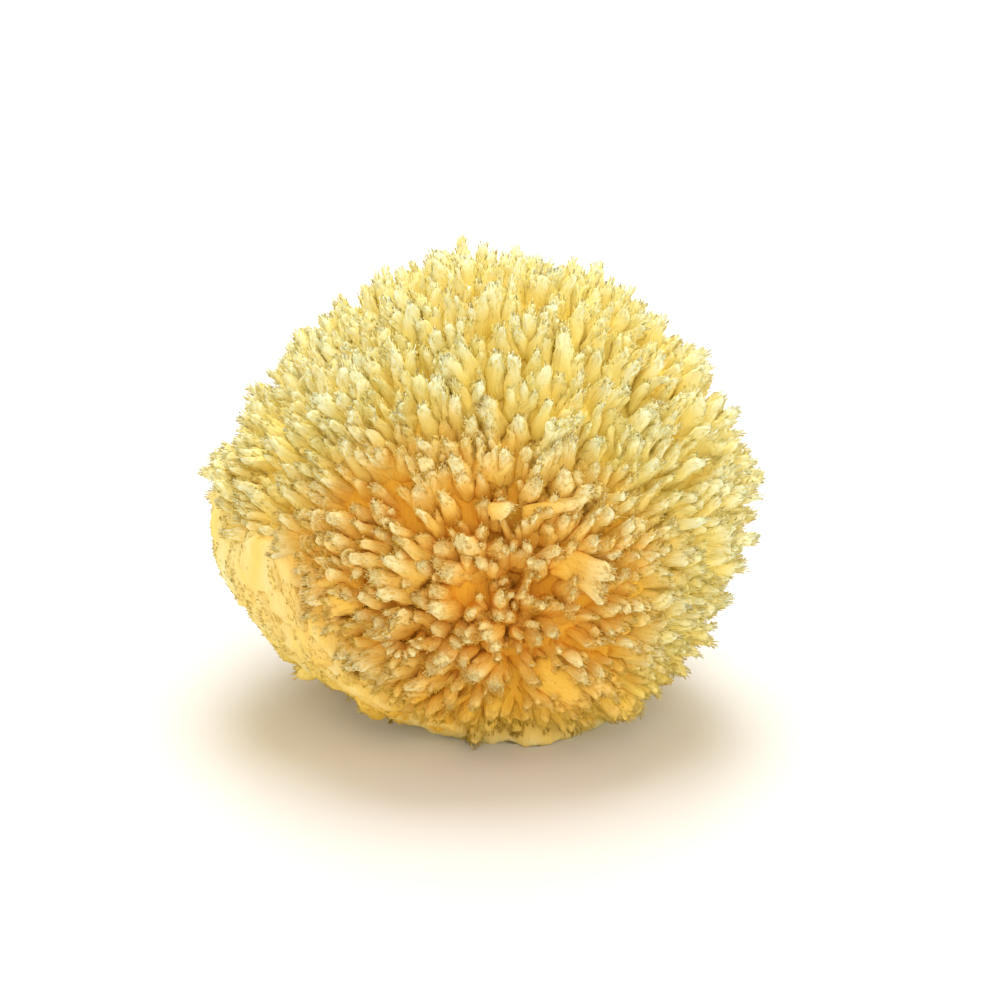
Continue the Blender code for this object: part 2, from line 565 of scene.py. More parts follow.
def colour_flesh(mesh):
    """Stores what the flesh's material reads: tipness, tint and grain."""
    co = np.empty(len(mesh.vertices) * 3, np.float32)
    mesh.vertices.foreach_get("co", co)
    co = co.reshape(-1, 3).astype(float)
    trimmed = trimmed_share(units(co - np.array(MIDDLE)))
    streaks = np.array([noise.noise(Vector(p)) for p in co / PALE_STREAK_SIZE])
    store_values(mesh, {
        "tipness": trimmed * (TRIMMED_TIPNESS + TRIMMED_STREAKS * streaks),
        "tint": tint_of(co),
        "grain": co / (1, 1, STREAK),
    })


# Tufts: one model of each kind, shaped as a coarse cage and rounded


class Model(NamedTuple):
    """One kind of tuft, rooted at the origin and one long along Z. fringe is 1 on its frayed ends."""

    points: np.ndarray
    faces: np.ndarray
    fringe: np.ndarray


def selected_middle():
    """The middle of what is selected in edit mode."""
    cage = bmesh.from_edit_mesh(bpy.context.object.data)
    return middle_of([v for v in cage.verts if v.select])


def extrude_up(step, width, depth=None, lean=(0.0, 0.0)):
    """Extrudes the selected faces up and aside, then scales the new end about its middle."""
    bpy.ops.mesh.extrude_region_move(TRANSFORM_OT_translate={"value": (lean[0], lean[1], step)})
    bpy.ops.transform.resize(value=(width, depth or width, 1), center_override=selected_middle())


def select_faces(test):
    """In edit mode, selects just the faces whose middle passes the test."""
    bpy.context.tool_settings.mesh_select_mode = (False, False, True)
    bpy.ops.mesh.select_all(action="DESELECT")
    cage = bmesh.from_edit_mesh(bpy.context.object.data)
    for face in cage.faces:
        face.select_set(bool(test(face.calc_center_median())))
    bmesh.update_edit_mesh(bpy.context.object.data)


def start_cage(columns, width, depth):
    """A flat row of faces at the origin, in edit mode and selected, ready to be drawn up."""
    deselect_all()
    bpy.ops.mesh.primitive_grid_add(x_subdivisions=columns, y_subdivisions=1, size=1)
    bpy.ops.object.mode_set(mode="EDIT")
    bpy.ops.mesh.select_all(action="SELECT")
    bpy.ops.transform.resize(value=(width, depth, 1), center_override=(0, 0, 0))


# How frayed a tuft's side is near its tip, against 1 on the tip itself, and over which heights that sets in.
FRAYED_SIDE = 0.28
FRAYED_HEIGHTS = (0.50, 0.80)


# The cages' points are set to multiples of this, which is no round decimal, so that none lies halfway.
CAGE_STEP = 1 / 1024


def sort_cage(mesh):
    """Puts a cage's points and faces in a set order: Blender numbers extruded ones anew in each run."""
    points = np.array([v.co for v in mesh.vertices])
    points = np.round(points / CAGE_STEP) * CAGE_STEP
    order = np.lexsort(points.T)
    faces = np.argsort(order)[np.array([p.vertices[:] for p in mesh.polygons])]
    faces = np.take_along_axis(faces, (faces.argmin(1)[:, None] + np.arange(4)) % 4, 1)
    faces = faces[np.lexsort(faces.T[::-1])]
    mesh.clear_geometry()
    mesh.from_pydata(points[order].tolist(), [], faces.tolist())
    mesh.update()


def finish_cage():
    """Rounds the cage and returns it as a model."""
    bpy.ops.mesh.select_all(action="SELECT")
    bpy.ops.mesh.normals_make_consistent(inside=False)
    bpy.ops.object.mode_set(mode="OBJECT")
    cage = bpy.context.object
    sort_cage(cage.data)
    rounding = cage.modifiers.new("Rounding", "SUBSURF")
    rounding.levels = rounding.render_levels = 1
    bpy.ops.object.modifier_apply(modifier=rounding.name)
    points = np.array([v.co for v in cage.data.vertices])
    normals = np.array([v.normal for v in cage.data.vertices])
    faces = np.array([p.vertices[:] for p in cage.data.polygons])
    points[:, 2] -= points[:, 2].min()
    points[:, 2] /= points[:, 2].max()
    fringe = np.clip(normals[:, 2], FRAYED_SIDE, 1) * smoothstep(*FRAYED_HEIGHTS, points[:, 2])
    mesh = cage.data
    bpy.data.objects.remove(cage)
    bpy.data.meshes.remove(mesh)
    return Model(points, faces, fringe)


def model_finger():
    """A slender finger on a broad foot, with a blunt tip."""
    start_cage(1, 2.2, 1.9)
    extrude_up(0.34, 0.74)
    extrude_up(0.40, 0.66)
    extrude_up(0.26, 0.68)
    return finish_cage()


def model_pointed():
    """A finger that narrows from its broad foot to a frayed point."""
    start_cage(1, 2.3, 1.8)
    extrude_up(0.34, 0.72)
    extrude_up(0.38, 0.60)
    extrude_up(0.28, 0.52)
    return finish_cage()


def model_knob():
    """A stalk with a round brush-like head."""
    start_cage(1, 2.0, 2.0)
    extrude_up(0.36, 0.62)
    extrude_up(0.42, 0.98)
    extrude_up(0.22, 0.66)
    return finish_cage()


def model_fork():
    """A broad stalk that parts into two fingers, one longer than the other."""
    start_cage(2, 2.6, 1.7)
    extrude_up(0.30, 0.68, 0.62)
    for side, step in ((-1, 0.72), (1, 0.52)):
        select_faces(lambda middle: middle.x * side > 0 and abs(middle.z - 0.30) < 0.01)
        extrude_up(step * 0.6, 0.88, 0.95, lean=(0.16 * side, 0.05 * side))
        extrude_up(step * 0.4, 0.62, 0.66, lean=(0.08 * side, 0.05 * side))
    return finish_cage()


# A hand's fingers from left to right: how high each stands above the palm and how far it leans back.
HAND_FINGERS = ((-1, 0.42, 0.10), (0, 0.60, -0.06), (1, 0.50, 0.04))


def model_hand():
    """A broad stalk that parts into three fingers."""
    start_cage(3, 3.0, 1.6)
    extrude_up(0.36, 0.76, 0.66)
    for side, step, back in HAND_FINGERS:
        select_faces(lambda middle: abs(middle.x - 0.76 * side) < 0.2 and abs(middle.z - 0.36) < 0.01)
        extrude_up(step * 0.6, 0.90, 0.92, lean=(0.20 * side, back))
        extrude_up(step * 0.4, 0.62, 0.66, lean=(0.10 * side, back))
    return finish_cage()


# The fan's lobes: how far each stands up and how far it leans back.
FAN_LOBES = ((0.08, 0.10), (0.20, -0.08), (0.11, 0.06), (0.17, -0.06))


def model_fan():
    """A thin plate that widens to a ragged edge of four low lobes."""
    start_cage(len(FAN_LOBES), 2.1, 1.4)
    extrude_up(0.42, 0.95, 0.36)
    extrude_up(0.38, 1.30, 0.85)
    level = selected_middle().z
    cage = bmesh.from_edit_mesh(bpy.context.object.data)
    tops = sorted(f.calc_center_median().x for f in cage.faces if f.select)
    for (step, back), x in zip(FAN_LOBES, tops):
        select_faces(lambda middle: abs(middle.x - x) < 0.01 and abs(middle.z - level) < 0.01)
        extrude_up(step, 0.80, 0.60, lean=(0.04 * x, back))
    return finish_cage()


MODELS = {
    "finger": model_finger,
    "pointed": model_pointed,
    "knob": model_knob,
    "fork": model_fork,
    "hand": model_hand,
    "fan": model_fan,
}


# How deep a stem's foot is buried in the flesh, and the share of tufts with a second main stem.
BURIED = 0.0036
TWIN_SHARE = 0.35


class Stem(NamedTuple):
    """One copy of a model: where it stands, which way it grows and how large it is."""

    kind: str
    root: Vector
    along: Vector
    across: Vector
    bend: Vector
    length: float
    width: float
    curl: float
    tint: float
    pressed: bool = False


# Where kinds of tuft are common: (kind, azimuth, elevation, spread in degrees, weight added to the usual
# one).
PATCHES = (
    ("fan", 34, -14, 22, 2.2),
    ("fan", -42, -22, 16, 1.6),
    ("fan", -34, 34, 16, 0.3),
    ("fan", 160, 5, 40, 0.6),
    ("knob", -8, -22, 16, 2.4),
    ("knob", -30, 4, 12, 1.0),
    ("hand", 30, 0, 30, 0.8),
    ("fork", 40, -5, 26, 1.2),
    ("pointed", 0, 80, 34, 1.5),
)
USUAL = {"finger": 1.0, "pointed": 0.60, "knob": 0.16, "fork": 0.42, "hand": 0.24, "fan": 0.10}
# Width of each kind's unit as a share of a finger's.
WIDTHS = {"finger": 1.0, "pointed": 1.0, "knob": 1.0, "fork": 1.0, "hand": 1.0, "fan": 1.15}
BROAD = ("fork", "hand", "fan")
# How much one tuft's tint differs by chance from the usual one there.
TINT_CHANCE = 0.08


def pick_kind(direction, rng):
    """The kind of tuft for this direction, by chance weighed by the patches."""
    weights = dict(USUAL)
    for kind, azimuth, elevation, spread, weight in PATCHES:
        angle = math.degrees(direction.angle(direction_of(azimuth, elevation)))
        weights[kind] += weight * math.exp(-((angle / spread) ** 2))
    return rng.choices(list(weights), weights=list(weights.values()))[0]


def random_vector(rng):
    return Vector([rng.uniform(-1, 1) for _ in range(3)])


def random_tint(point, rng):
    """The tint at a point, with some chance in it."""
    return float(np.clip(tint_of(np.array([point]))[0] + rng.uniform(-TINT_CHANCE, TINT_CHANCE), 0, 1))


# How far a direction of an even spread is nudged aside.
NUDGE = 0.08


def spread_directions(count, rng):
    """Directions spread over a sphere on a golden spiral, each then nudged aside."""
    golden = math.pi * (3 - math.sqrt(5))
    directions = []
    for i in range(count):
        z = 1 - (2 * i + 1) / count
        ring = math.sqrt(1 - z * z)
        place = Vector((ring * math.cos(golden * i), ring * math.sin(golden * i), z))
        directions.append((place + random_vector(rng) * NUDGE).normalized())
    return directions


# A tuft is left out by chance where this share of its skin was trimmed, its tip is moved this far in or
# out, and it is drawn to its clump by this share of the usual pull.
LEFT_OUT = (0.3, 0.7)
TIP_CHANCE = 0.0016
PULLS = (0.3, 1.0)
SHORTEST = 0.003
# The second stem of a twin stands this far aside, is this much shorter at most and this wide.
TWIN_ASIDE = (0.0030, 0.0044)
TWIN_SHORTER = 0.0025
TWIN_SIZE = 0.9


def grow_stems(shape):
    """Every finger, fork, hand, fan and knob, as one main stem for each whole tuft and some beside it."""
    rng = random.Random(SEED)
    centres = spread_directions(shape.clumps, rng)
    trimmed = trimmed_share(units(TIPS))
    stems = []
    for tuft, flesh, share in zip(TUFTS, flesh_distance(units(TIPS), shape), trimmed):
        direction = (tuft.tip - MIDDLE).normalized()
        if share > rng.uniform(*LEFT_OUT) or in_cleft(direction) or in_cup(direction):
            continue
        reach = (tuft.tip - MIDDLE).length
        clump = min(centres, key=lambda c: (c - direction).length_squared)
        tip = tuft.tip.lerp(MIDDLE + clump * reach, shape.clump_pull * rng.uniform(*PULLS))
        tip += direction * rng.uniform(-TIP_CHANCE, TIP_CHANCE)
        along = way_of_growth(tip, rng)
        length = max(reach - flesh, SHORTEST) / max(0.5, along.dot(direction)) + BURIED
        kind = pick_kind(direction, rng)
        root = tip - along * length
        stems.append(make_stem(kind, root, tip, 1.0, shape, rng))
        if rng.random() < TWIN_SHARE and kind not in BROAD:
            aside = along.cross(random_vector(rng)).normalized() * rng.uniform(*TWIN_ASIDE)
            kind = pick_kind(direction, rng)
            end = tip + aside - along * rng.uniform(0, TWIN_SHORTER)
            stems.append(make_stem(kind, root + aside, end, TWIN_SIZE, shape, rng))
        for _ in range(rng.randint(0, shape.side_fingers)):
            stems.append(side_stem(root, tip, shape, rng))
    stems += landmark_stems(shape, rng) + cup_stems(shape, rng)
    return stems + fill_gaps(stems, shape, rng) + pressed_stems(shape, rng)


# Tufts that catch the eye: (kind, azimuth and elevation of the root and then of the tip in degrees, how far
# up from the flesh to the outline the root and the tip are, times the usual width, curl in radians).
LANDMARKS = (
    ("finger", (10, 15), (26, 17), (0.62, 1.05), 0.66, 0.1),
    ("finger", (2, 16), (8, 17), (0.72, 1.02), 0.70, 0.1),
    ("fan", (19, 3), (30, -2), (0.1, 1.05), 1.1, -0.4),
    ("fan", (17, -26), (29, -32), (0.1, 1.05), 1.1, 0.4),
    ("hand", (-30, -6), (-42, -10), (0.1, 1.05), 1.1, 0.3),
    ("hand", (-13, -1), (-21, 5), (0.1, 1.05), 1.1, 0.3),
    ("hand", (2, 24), (6, 30), (0.1, 1.00), 1.1, -0.3),
)


def landmark_stems(shape, rng):
    """The tufts of LANDMARKS, whose flat sides face the front."""
    stems = []
    for kind, root_way, tip_way, shares, size, curl in LANDMARKS:
        ways = [direction_of(*root_way), direction_of(*tip_way)]
        flesh = flesh_distance(np.array(ways), shape)
        outline = outline_distance(np.array(ways))
        root, tip = (
            MIDDLE + way * float(low + (high - low) * share)
            for way, low, high, share in zip(ways, flesh, outline, shares)
        )
        stem = make_stem(kind, root, tip, size, shape, rng)
        upright = stem.along.cross(Vector((0, -1, 0))).normalized()
        stems.append(stem._replace(across=upright, curl=curl))
    return stems


# The cup, a ring of thin fingers round a hollow: its middle's azimuth and elevation, the ring's radius at
# the roots and at the tips, the way it opens in degrees, how many fingers it has and places it lacks, how
# wide they are for usual ones, how much their lengths differ, and how it leans to the front and up.
CUP = (-18.5, -17)
CUP_RADII = (0.0030, 0.0042)
CUP_OPENING = 45
CUP_FINGERS = 11
CUP_GAP = 2
CUP_FINGER_SIZE = 0.60
CUP_CHANCE = 0.0008
CUP_LEAN = Vector((0.15, -0.80, 0.60))
# No other tuft's tip is nearer the cup's middle than this, in degrees.
CUP_CLEAR = 5.0


def cup_stems(shape, rng):
    """The fingers of the cup, side by side, open at the upper right."""
    out = direction_of(*CUP)
    axis = (out + CUP_LEAN).normalized()
    right = Vector((0, 0, 1)).cross(axis).normalized()
    up = axis.cross(right)
    flesh = float(flesh_distance(np.array([out]), shape)[0])
    length = (float(outline_distance(np.array([out]))[0]) - flesh) / axis.dot(out)
    foot = MIDDLE + out * flesh
    stems = []
    for i in range(CUP_FINGERS):
        turn = math.radians(CUP_OPENING + 360 * (i + 1.5) / (CUP_FINGERS + CUP_GAP))
        aside = right * math.cos(turn) + up * math.sin(turn)
        root = foot + aside * CUP_RADII[0] - axis * BURIED
        tip = foot + aside * CUP_RADII[1] + axis * (length + rng.uniform(-CUP_CHANCE, CUP_CHANCE))
        stem = make_stem("finger", root, tip, CUP_FINGER_SIZE, shape, rng)
        stems.append(stem._replace(bend=Vector()))
    return stems


def in_cup(direction):
    """Whether this direction from the middle points into the cup or its rim."""
    return direction.angle(direction_of(*CUP)) < math.radians(CUP_CLEAR)


# Directions tried for a tuft that fills a gap, how wide a gap is, how far up from the flesh it reaches, and
# how wide it is for a usual one.
GAP_TRIES = 3200
GAP = 0.0037
GAP_REACH = (0.60, 0.95)
GAP_SIZE = 0.9
# How far up a tuft its distance from the others is measured.
HALFWAY = 0.6


def fill_gaps(stems, shape, rng):
    """Shorter tufts wherever whole skin would show between the others."""
    middles = [s.root + s.along * s.length * HALFWAY for s in stems]
    tries = spread_directions(GAP_TRIES, rng)
    ways = np.array(tries)
    added = []
    for direction, outline, flesh, share in zip(
        tries, outline_distance(ways), flesh_distance(ways, shape), trimmed_share(ways)
    ):
        reach = flesh + (outline - flesh) * rng.uniform(*GAP_REACH)
        tip = MIDDLE + direction * reach
        halfway = MIDDLE + direction * (flesh + reach) / 2
        if share > 0.5 or tip.z < TRIMMED_HEIGHT or in_cleft(direction) or in_cup(direction):
            continue
        if min((m - halfway).length for m in middles) < GAP:
            continue
        along = way_of_growth(tip, rng)
        root = tip - along * ((reach - flesh) / max(0.5, along.dot(direction)) + BURIED)
        stem = make_stem(pick_kind(direction, rng), root, tip, GAP_SIZE, shape, rng)
        added.append(stem)
        middles.append(stem.root + stem.along * stem.length * HALFWAY)
    return added


# Directions tried for a tuft that lies flat on the trimmed skin, how deep its root and tip lie, how long it
# is and how wide for a usual one, how far it is turned by chance, and the lowest height of its root.
PRESSED_TRIES = 1500
PRESSED_DEPTHS = (0.0022, 0.0006)
PRESSED_LENGTH = (0.009, 0.016)
PRESSED_SIZES = (0.8, 1.3)
PRESSED_TURN = 0.12
PRESSED_LOWEST = 0.006
# How frayed these are all over, against 1 on a whole tuft's tip.
PRESSED_FRINGE = 0.45


def pressed_stems(shape, rng):
    """Broad soft tufts that lie upwards on the trimmed skin, as its streaks."""
    ways = np.array(spread_directions(PRESSED_TRIES, rng))
    stems = []
    for direction, distance, share in zip(ways, flesh_distance(ways, shape), trimmed_share(ways)):
        out = Vector(direction)
        root = MIDDLE + out * (distance - PRESSED_DEPTHS[0])
        if share < 0.6 or root.z < PRESSED_LOWEST:
            continue
        upwards = (Vector((0, 0, 1)) - out * out.z).normalized() + random_vector(rng) * PRESSED_TURN
        way = (root + upwards * rng.uniform(*PRESSED_LENGTH) - MIDDLE).normalized()
        end = float(flesh_distance(np.array([way]), shape)[0]) - PRESSED_DEPTHS[1]
        stem = make_stem("finger", root, MIDDLE + way * end, rng.uniform(*PRESSED_SIZES), shape, rng)
        stems.append(stem._replace(bend=Vector(), pressed=True))
    return stems


# Shares of the growth centre, the skin's normal and chance in the way that a tuft grows.
GROWTH_SHARES = (0.85, 0.15, 0.10)


def way_of_growth(tip, rng):
    """The way a tuft grows: out of the growth centre, and a little along the skin's normal and by chance."""
    radial = (tip - GROWTH_CENTRE).normalized()
    normal = (tip - MIDDLE).normalized()
    outward, straight, chance = GROWTH_SHARES
    return (radial * outward + normal * straight + random_vector(rng) * chance).normalized()


# How much the flat sides of broad tufts face up or down, against chance, how wide a tuft is for the usual
# one, how far it bends for its length, and how far its flat side curls, in radians.
LEVEL_SHARE = 1.2
SIZES = (0.68, 1.28)
BEND = 0.16
CURLS = (0.05, 0.35)


def make_stem(kind, root, tip, size, shape, rng):
    """A stem of this kind from root to tip; size scales its width."""
    axis = tip - root
    along = axis.normalized()
    aside = random_vector(rng)
    if kind in BROAD:
        aside = aside + Vector((0, 0, 1)).cross(along) * LEVEL_SHARE
    across = along.cross(aside).cross(along).normalized()
    width = shape.finger_width * WIDTHS[kind] * size * rng.uniform(*SIZES)
    bend = along.cross(random_vector(rng)) * axis.length * BEND
    curl = rng.choice((-1, 1)) * rng.uniform(*CURLS)
    return Stem(kind, root, along, across, bend, axis.length, width, curl, random_tint(tip, rng))


# A side finger leaves the main stem in this part of its length, ends in this part and this far aside, and
# is this wide for a usual one.
SIDE_FEET = (0.0, 0.20)
SIDE_ENDS = (0.55, 0.92)
SIDE_ASIDE = (0.0026, 0.0050)
SIDE_SIZES = (0.60, 0.85)
SIDE_KINDS = {"finger": 1.0, "pointed": 0.8, "knob": 0.2}


def side_stem(root, tip, shape, rng):
    """A thinner finger that leaves the same root and leans away from the main stem."""
    axis = tip - root
    foot = root + axis * rng.uniform(*SIDE_FEET)
    lean = axis.normalized().cross(random_vector(rng)).normalized()
    end = root + axis * rng.uniform(*SIDE_ENDS) + lean * rng.uniform(*SIDE_ASIDE)
    kind = rng.choices(list(SIDE_KINDS), weights=list(SIDE_KINDS.values()))[0]
    return make_stem(kind, foot, end, rng.uniform(*SIDE_SIZES), shape, rng)


def place_copies(model, stems):
    """The model's points for every stem, curled, bent and set on its root: an array of (stem, point, xyz)."""
    x, y, z = model.points.T
    root, along, across, bend, length, width, curl = (
        np.array([getattr(s, key) for s in stems])[:, None] for key in Stem._fields[1:8]
    )
    radius = width / curl
    aside = (radius - width * y) * np.sin(curl * x)
    back = radius - (radius - width * y) * np.cos(curl * x)
    through = np.cross(along, across)
    points = root + along * (length * z)[..., None] + across * aside[..., None] + through * back[..., None]
    return points + bend * (z**2 - z * 0.3)[None, :, None]


# How far apart the broad and fine bumps of the tufts are, how far they move a point, and how low it may be.
BROAD_SPACING = 0.0036
BROAD_MOVE = 0.00115
FINE_SPACING = 0.0010
FINE_MOVE = 0.00040
LOWEST_POINT = 0.0004


def roughen(points):
    """Moves the points by noise, broad and fine, so that no two copies are alike."""
    flat = points.reshape(-1, 3)
    noise.seed_set(SEED)
    broad = np.array([noise.noise_vector(Vector(p) / BROAD_SPACING) for p in flat])
    fine = np.array([noise.noise_vector(Vector(p) / FINE_SPACING) for p in flat])
    flat = flat + broad * BROAD_MOVE + fine * FINE_MOVE
    flat[:, 2] = np.maximum(flat[:, 2], LOWEST_POINT)
    return flat.reshape(points.shape)


class SPONGE_OT_tufts(bpy.types.Operator):
    """Draws the skin out into fingers, forks, hands, fans and knobs, one piece for each kind"""

    bl_idname = "sponge.tufts"
    bl_label = "Tufts"

    def execute(self, context):
        shape = context.scene.sponge_shape
        stems = grow_stems(shape)
        material = spongin_material("grown_spongin_tufts", context.scene.sponge_colours, TUFT_RELIEF)
        for kind, build in MODELS.items():
            add_tuft_piece(kind, build(), [s for s in stems if s.kind == kind], shape, material)
        return {"FINISHED"}


# Share of a tuft's colour that follows its depth under the sponge's outline; the rest follows its own height.
DEPTH_SHARE = 0.5
# Painted shade: the tufts that stand near the floor are darker by this much, between these heights, where
# less light reaches.
FOOT_DARKENING = 0.55
FOOT_HEIGHTS = (0.010, 0.034)
# How late a tuft turns to the tip's colour on its way up, as a power, and how far apart and how strong the
# patches and mottles of its colour are.
TIP_POWER = 1.6
PATCH_SPACING = 0.006
PATCH_SHARE = 0.08
MOTTLE_SPACING = 0.0011
MOTTLE_SHARE = 0.12
# How much the fibres follow a tuft's bend, and how far each copy's grain is moved on from the last one's.
BEND_SHARE = 0.25
GRAIN_STEP = (0.013, 0.007, 0.011)


def add_tuft_piece(kind, model, stems, shape, material):
    """Joins all the copies of one kind in one object with its attributes and its bake map."""
    points = roughen(place_copies(model, stems))
    flat = points.reshape(-1, 3)
    count, size = len(stems), len(model.points)
    faces = (model.faces[None] + (np.arange(count) * size)[:, None, None]).reshape(-1, model.faces.shape[1])
    arms = flat - np.array(MIDDLE)
    sunk = (outline_distance(units(arms)) - np.linalg.norm(arms, axis=1)) / shape.depth
    height = np.tile(model.points[:, 2], count)
    patchy = np.array([noise.noise(Vector(p) / PATCH_SPACING) for p in flat])
    near = DEPTH_SHARE * np.clip(1 - sunk, 0, 1) + (1 - DEPTH_SHARE) * height
    mottled = np.array([noise.noise(Vector(p) / MOTTLE_SPACING) for p in flat])
    # Painted shade near the floor, taken off the tipness of low points.
    painted_floor_shade = FOOT_DARKENING * (1 - smoothstep(*FOOT_HEIGHTS, flat[:, 2]))
    pressed = np.repeat([s.pressed for s in stems], size)
    grown = np.where(pressed, TRIMMED_TIPNESS, near**TIP_POWER)
    tipness = np.clip(grown + PATCH_SHARE * patchy + MOTTLE_SHARE * mottled - painted_floor_shade, 0, 1)
    tint = np.repeat([s.tint for s in stems], size)
    offset = np.arange(count)[:, None] * GRAIN_STEP
    local = model.points[None] * np.array([(s.width, s.width, s.length / STREAK) for s in stems])[:, None]
    values = {
        "tipness": tipness,
        "tint": tint,
        "grain": (local + offset[:, None]).reshape(-1, 3),
        "along": np.repeat([s.along + s.bend.normalized() * BEND_SHARE for s in stems], size, axis=0),
        "fringe": np.where(pressed, PRESSED_FRINGE, np.tile(model.fringe, count)),
    }
    turn = np.tile(np.arctan2(model.points[:, 1], model.points[:, 0]), count)
    add_piece(f"{kind}_tufts", points, faces, values, bake_places(tipness, tint, turn), material)


# The bake map's margin, the span inside it, and how far apart places round one tuft or fibre are set.
MAP_MARGIN = 0.02
MAP_SPAN = 0.96
MAP_APART = 0.006


def bake_places(tipness, tint, turn):
    """Places on a map whose axes are tipness and tint, set a little apart round each tuft or fibre."""
    u = MAP_MARGIN + MAP_SPAN * tipness + MAP_APART * np.cos(turn)
    v = MAP_MARGIN + MAP_SPAN * tint + MAP_APART * np.sin(turn)
    return np.stack([u, v], 1)


# Fibres


# Pieces of fibres, by the part of the sponge that they grow on, in the order that they are told apart.
REGIONS = (
    ("fibres_crown", lambda p: p[:, 2] > 0.086),
    ("fibres_front_left", lambda p: (p[:, 1] < -0.022) & (p[:, 0] < -0.010)),
    ("fibres_front_right", lambda p: (p[:, 1] < -0.022) & (p[:, 0] >= -0.010)),
    ("fibres_left", lambda p: p[:, 0] < -0.010),
    ("fibres_right", lambda p: p[:, 0] >= -0.010),
)
# How fuzzy each piece is, as a share of its area's fair count.
FUZZ = {
    "finger_tufts": 1.0,
    "pointed_tufts": 1.0,
    "knob_tufts": 1.4,
    "fork_tufts": 1.0,
    "hand_tufts": 1.0,
    "fan_tufts": 1.8,
}
# How likely a fibre is on the side of a tuft, against 1 on its frayed end.
SIDE_FUZZ = 0.012


class Seats(NamedTuple):
    """Where fibres sit: the points, the surface's normals, and the piece's values there."""

    points: np.ndarray
    normals: np.ndarray
    along: np.ndarray
    tipness: np.ndarray
    tint: np.ndarray
    fringe: np.ndarray


def point_values(mesh, name, width=1):
    """An attribute of a mesh's points as an array."""
    data = np.empty(len(mesh.vertices) * width, np.float32)
    mesh.attributes[name].data.foreach_get("vector" if width == 3 else "value", data)
    return data.reshape(-1, width).astype(float) if width > 1 else data.astype(float)


def triangles_of(mesh):
    """The corners of a mesh's triangles as an array of point numbers, and the points."""
    mesh.calc_loop_triangles()
    corners = np.empty(len(mesh.loop_triangles) * 3, np.int32)
    mesh.loop_triangles.foreach_get("vertices", corners)
    points = np.empty(len(mesh.vertices) * 3, np.float32)
    mesh.vertices.foreach_get("co", points)
    return corners.reshape(-1, 3), points.reshape(-1, 3).astype(float)


def seat_weights(mesh, corners, points):
    """How likely a fibre is on each triangle: by area, and mostly on frayed ends."""
    a, b, c = (points[corners[:, i]] for i in range(3))
    area = np.linalg.norm(np.cross(b - a, c - a), axis=1)
    return area * (SIDE_FUZZ + point_values(mesh, "fringe")[corners].mean(1) ** 2)


def choose_seats(mesh, count, rng):
    """Picks count random seats on a piece."""
    corners, points = triangles_of(mesh)
    weights = seat_weights(mesh, corners, points)
    chosen = corners[rng.choice(len(corners), count, p=weights / weights.sum())]
    u, v = rng.random((2, count))
    u, v = np.where(u + v > 1, 1 - u, u), np.where(u + v > 1, 1 - v, v)
    shares = np.stack([1 - u - v, u, v], 1)

    def blended(values):
        return np.einsum("fc,fc...->f...", shares, values[chosen])

    a, b, c = (points[chosen[:, i]] for i in range(3))
    return Seats(
        blended(points),
        units(np.cross(b - a, c - a)),
        units(blended(point_values(mesh, "along", 3))),
        blended(point_values(mesh, "tipness")),
        blended(point_values(mesh, "tint")),
        blended(point_values(mesh, "fringe")),
    )


# How much nearer a tip's colour a fibre's foot and end are than the tuft that it grows from. The darker
# feet are painted shade between the bristles.
FOOT_SHADE = -0.35
END_SHADE = 0.05
# How much nearer the hollows' colour a fibre is where its tuft's skin faces away from the light overhead.
SHADED_SIDE = 0.75
# Skin counts as lit by how far it faces away from a point this far under the sponge's middle.
LIFT = np.array((0.0, 0.0, 0.035))
# Share of the fibres that widen to a blunt end; the others narrow to a point. Blunt ends are this much
# narrower than the others' feet.
BLUNT_SHARE = 0.6
BLUNT_WIDTH = 0.8
# A fibre leans out by the first share and by chance by the second.
OUTWARDS = 0.35
WAY_CHANCE = 0.13
# Length for the usual fibre: the share that it has where nothing frays, and the range of chance. Its foot
# sits this deep in its tuft, and no point of it is lower than the last.
LEAST_LENGTH = 0.40
LENGTHS = (0.55, 1.25)
FOOT_DEPTH = 0.0003
LOWEST_FIBRE = 0.0001
# How far a fibre's own roundness turns the normals that it has from its tuft.
ROUNDNESS = 0.3


